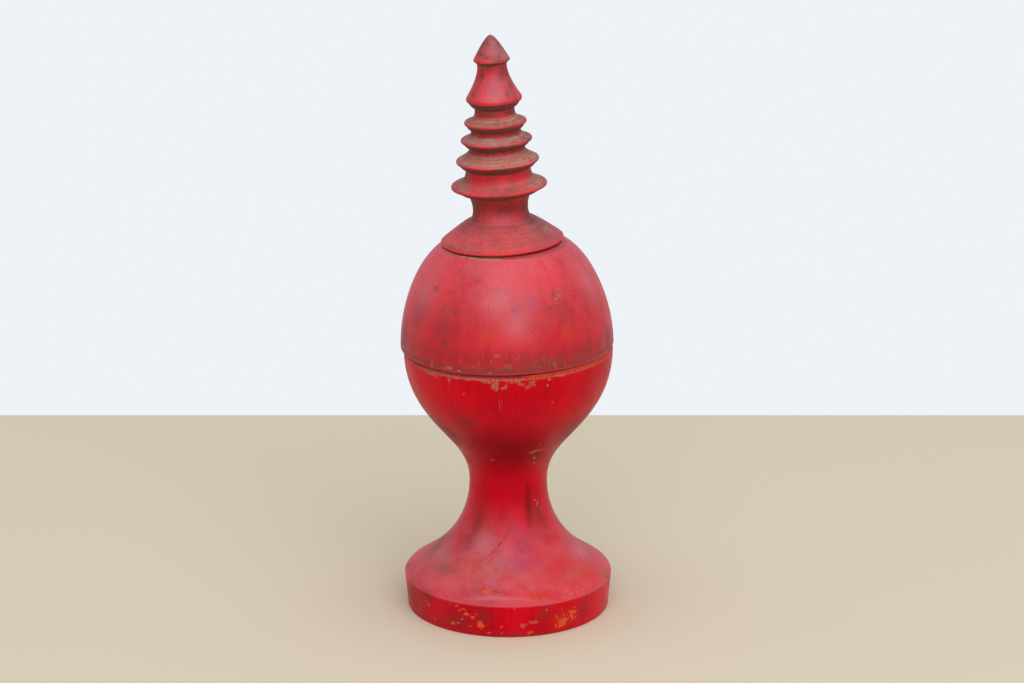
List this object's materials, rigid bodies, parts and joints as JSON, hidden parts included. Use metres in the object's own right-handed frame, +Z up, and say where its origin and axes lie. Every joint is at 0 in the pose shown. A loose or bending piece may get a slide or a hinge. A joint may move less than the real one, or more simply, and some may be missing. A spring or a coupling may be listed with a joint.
{
  "type": "turned wooden pedestal box",
  "caption": "Turned wooden trinket box: round bowl on a waisted foot, with a lift-off domed lid and a ringed spire finial, in worn red lacquer.",
  "frame": {"origin": "centre of the foot's flat underside", "axes": "+Z up along the foot's and stem's turned axis; the rim, lid and finial lean towards -X; -Y is the side that faces the viewer"},
  "size_m": [0.0718, 0.0718, 0.1992],
  "materials": {
    "bowl_lacquer": "worn red lacquer, satin",
    "lid_lacquer": "worn and grimy red lacquer, soft satin",
    "finial_lacquer": "worn red lacquer with dust in its grooves"
  },
  "bodies": {
    "pedestal": {"pedestal_bowl": "bowl_lacquer"},
    "lid": {"lid_dome": "lid_lacquer", "finial": "finial_lacquer"}
  },
  "joints": [
    {"name": "lid_lift", "type": "slide", "parent": "pedestal", "child": "lid", "axis": [-0.0244, 0, 0.9997], "range_m": [0, 0.12]}
  ]
}
